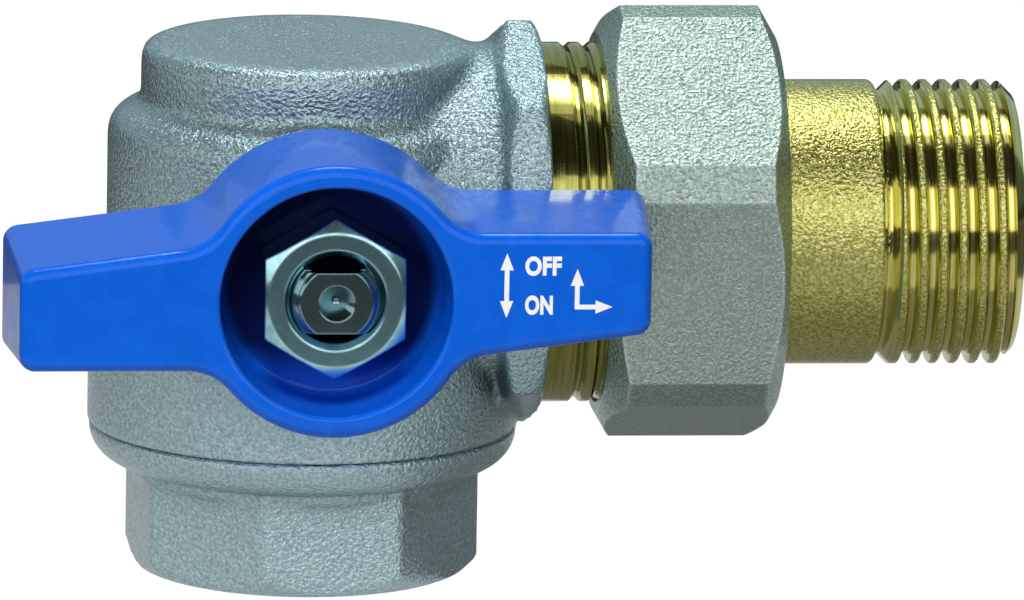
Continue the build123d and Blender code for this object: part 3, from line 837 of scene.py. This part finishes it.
def hung_band(name, low, high, level, left=-180, right=180, tint=neutral):
    low_z = axis_height + tent_r * tan(radians(low))
    high_z = axis_height + tent_r * tan(radians(high))
    bpy.ops.mesh.primitive_cylinder_add(
        vertices=64, radius=tent_r, depth=high_z - low_z, end_fill_type="NOTHING",
        location=(0, 0, (low_z + high_z) / 2))
    band = bpy.context.active_object
    bpy.ops.object.mode_set(mode="EDIT")
    bpy.ops.mesh.select_mode(type="FACE")
    bpy.ops.mesh.select_all(action="DESELECT")
    bpy.ops.object.mode_set(mode="OBJECT")
    for face in band.data.polygons:
        bearing = degrees(atan2(face.center.x, -face.center.y))
        face.select = not left < bearing < right
    bpy.ops.object.mode_set(mode="EDIT")
    bpy.ops.mesh.delete(type="FACE")
    bpy.ops.object.mode_set(mode="OBJECT")
    flag(name, level, tint)


def table_ring(name, inner, outer, level, centre_x=0.0, lift=0.1 * mm):
    bpy.ops.mesh.primitive_cylinder_add(
        vertices=64, radius=inner, depth=mm, end_fill_type="NOTHING",
        location=(centre_x, 0, floor_z))
    ring = bpy.context.active_object
    for v in ring.data.vertices:
        if v.co.z > 0:
            v.co.x *= outer / inner
            v.co.y *= outer / inner
        v.co.z = lift
    flag(name, level)


# %% Hang the flags
hung_band("upper_flag", 40, 80, 0.03, -100, 100)
hung_band("left_flag", 24, 42, 0.03, -110, -45)
hung_band("lower_flag", -2, 2.5, 0.02)
hung_band("right_flag", 2.5, 42, 0.10, 50, 110, daylight)
hung_band("rear_right_flag", 2.5, 50, 0.49, 110, 180, daylight)
hung_band("rear_left_flag", 2.5, 50, 0.49, -180, -110, daylight)
hung_band("high_right_flag", 50, 60, 0.06, 100, 180)
hung_band("high_left_flag", 50, 60, 0.06, -180, -100)
hung_band("front_panel", 3, 40, 1.5, -45, 50)
# Painted shadow: darker table rings under and round the valve, seen in reflections only.
table_ring("table_painted_shadow", 0.001, 0.047, 0.22, 0.062, 0.2 * mm)
table_ring("table_shade", 0.005, 0.17, 0.56)
table_ring("far_shade", 0.17, tent_r, 0.08)
print("tent radius", tent_r)

# %% [markdown]
# ## Tent and lamps
# The tent is the world: white to the camera and to mirrors, but dim as a light, so that the lamps
# shape the enamel. A soft key lamp hangs above the front, and a low fill lamp on the left reaches
# into the handle's cup. Metal would show both as hard squares, so they are kept out of reflections.
# A smaller lamp overhead, a little behind, is mirrored as the bright line along brass and rims.

# %% Tent and lamps
tent_dim, tent_white = (0.06, 0.06, 0.063, 1), (1, 1, 1, 1)
lamp_target = Vector((0.02, 0, axis_height))
world = bpy.data.worlds.new("tent")
scene.world = world
world.use_nodes = True
nodes, links = world.node_tree.nodes, world.node_tree.links
nodes.clear()
output = nodes.new("ShaderNodeOutputWorld")
mix = nodes.new("ShaderNodeMixShader")
dim = nodes.new("ShaderNodeBackground")
dim.inputs["Color"].default_value = tent_dim
white = nodes.new("ShaderNodeBackground")
white.inputs["Color"].default_value = tent_white
links.new(seen_or_mirrored(nodes, links), mix.inputs["Fac"])
links.new(dim.outputs["Background"], mix.inputs[1])
links.new(white.outputs["Background"], mix.inputs[2])
links.new(mix.outputs["Shader"], output.inputs["Surface"])


def lamp(name, place, size, power, in_metal):
    bpy.ops.object.light_add(type="AREA", location=place)
    light = bpy.context.active_object
    light.name = name
    light.data.shape = "SQUARE"
    light.data.size = size
    light.data.energy = power
    aim = lamp_target - Vector(place)
    light.rotation_euler = aim.to_track_quat("-Z", "Y").to_euler()
    light.visible_glossy = in_metal
    light.visible_camera = False


lamp("key_lamp", (-0.15, -0.72, 0.85), size=0.40, power=8.5, in_metal=False)
lamp("fill_lamp", (-0.90, -1.75, 0.50), size=0.50, power=9.2, in_metal=False)
lamp("overhead_lamp", (0.05, 0.25, 1.05), size=0.34, power=3.2, in_metal=True)
scene.view_settings.view_transform = "Standard"
print("three lamps in the tent")

# %% [markdown]
# ## Camera
# A long lens from a metre and a half gives the nearly parallel lines of a catalogue picture. It
# looks down a little, from slightly left of the handle's axis, and is rolled by about a degree. The
# focal length and the aim are in pixels of a picture 1024 wide, as they were measured.

# %% Camera
distance = 1.5
yaw, height, roll = radians(4.6), radians(11.5), radians(1.05)
photo_width, focal = 1024, 12900
aim_right, aim_down = 207.9, 75.2
ball_centre = Vector((0, 0, axis_height))
away = Vector((-sin(yaw) * cos(height), -cos(yaw) * cos(height), sin(height)))
right = Vector((cos(yaw), -sin(yaw), 0))
upward = right.cross(-away)
target = ball_centre + (right * aim_right - upward * aim_down) * distance / focal
place = ball_centre + away * distance
bpy.ops.object.camera_add(location=place)
camera = bpy.context.active_object
facing = (target - place).to_track_quat("-Z", "Y")
camera.rotation_euler = (facing @ Quaternion((0, 0, 1), roll)).to_euler()
camera.data.sensor_width = 36
camera.data.lens = focal * camera.data.sensor_width / photo_width
scene.camera = camera
print("camera at", [round(c, 3) for c in place], "lens", round(camera.data.lens, 1))
